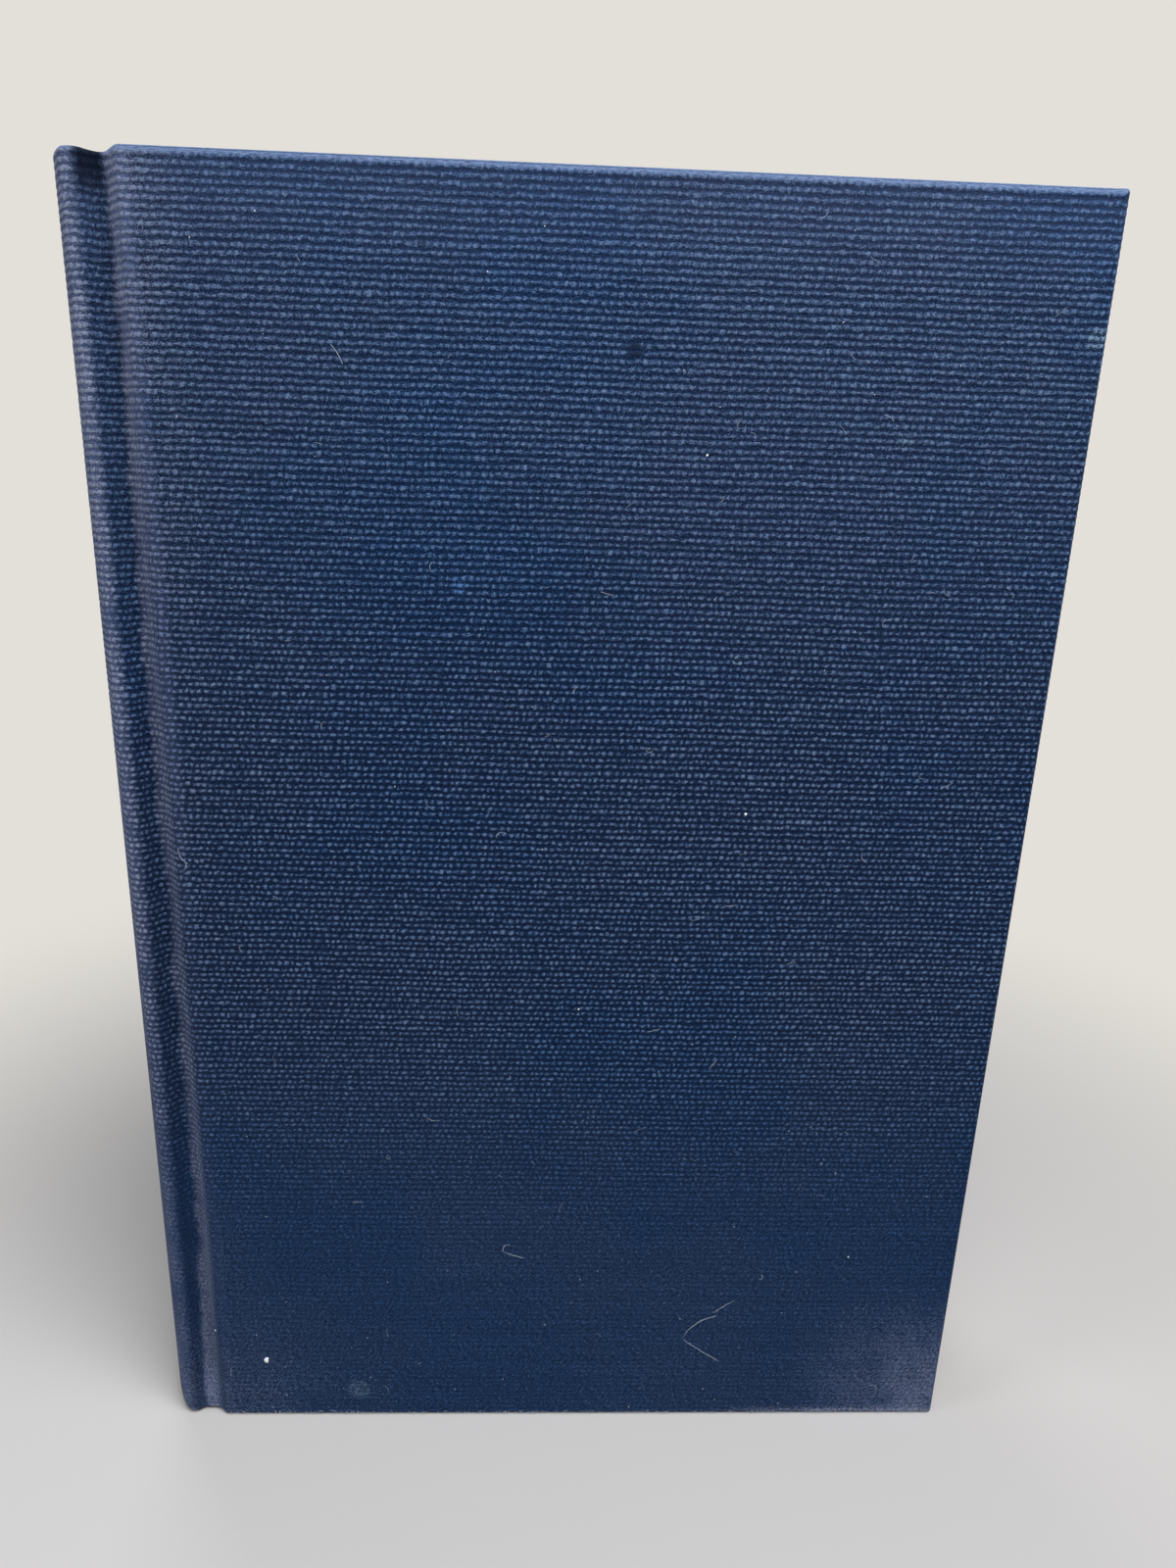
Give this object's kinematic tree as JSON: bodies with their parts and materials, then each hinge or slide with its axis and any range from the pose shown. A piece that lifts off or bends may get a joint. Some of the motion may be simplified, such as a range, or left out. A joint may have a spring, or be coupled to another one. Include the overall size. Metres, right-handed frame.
{
  "type": "hardback book",
  "caption": "Cloth-covered hardback book with a rounded spine, grooved joints, hinged covers and a block of pages.",
  "frame": {"origin": "under the middle of the closed book, on the surface that its covers stand on", "axes": "+X from the spine to the fore-edge, +Y from the front cover to the back cover, +Z from tail to head"},
  "size_m": [0.1638, 0.04, 0.235],
  "materials": {
    "book_cloth": "ribbed navy canvas book cloth",
    "page_paper": "cut edges of aged cream paper",
    "endpaper": "smooth off-white endpaper",
    "grey_board": "grey binder's board",
    "inlay_card": "flexible brown card",
    "lining": "open-weave cotton and paper lining",
    "headband": "woven cotton band"
  },
  "bodies": {
    "book_block": {"text_block": "page_paper", "spine_lining": "lining", "head_band": "headband", "tail_band": "headband", "front_flyleaf": "endpaper", "back_flyleaf": "endpaper", "spine_inlay": "inlay_card", "spine_cloth": "book_cloth"},
    "front_cover": {"front_board": "grey_board", "front_cloth": "book_cloth", "front_pastedown": "endpaper"},
    "back_cover": {"back_board": "grey_board", "back_cloth": "book_cloth", "back_pastedown": "endpaper"}
  },
  "joints": [
    {"name": "front_cover_hinge", "type": "hinge", "parent": "book_block", "child": "front_cover", "pos_m": [-0.07369, -0.01655, 0], "axis": [0, 0, -1], "range_deg": [0, 178]},
    {"name": "back_cover_hinge", "type": "hinge", "parent": "book_block", "child": "back_cover", "pos_m": [-0.07369, 0.01655, 0], "axis": [0, 0, 1], "range_deg": [0, 178]}
  ]
}
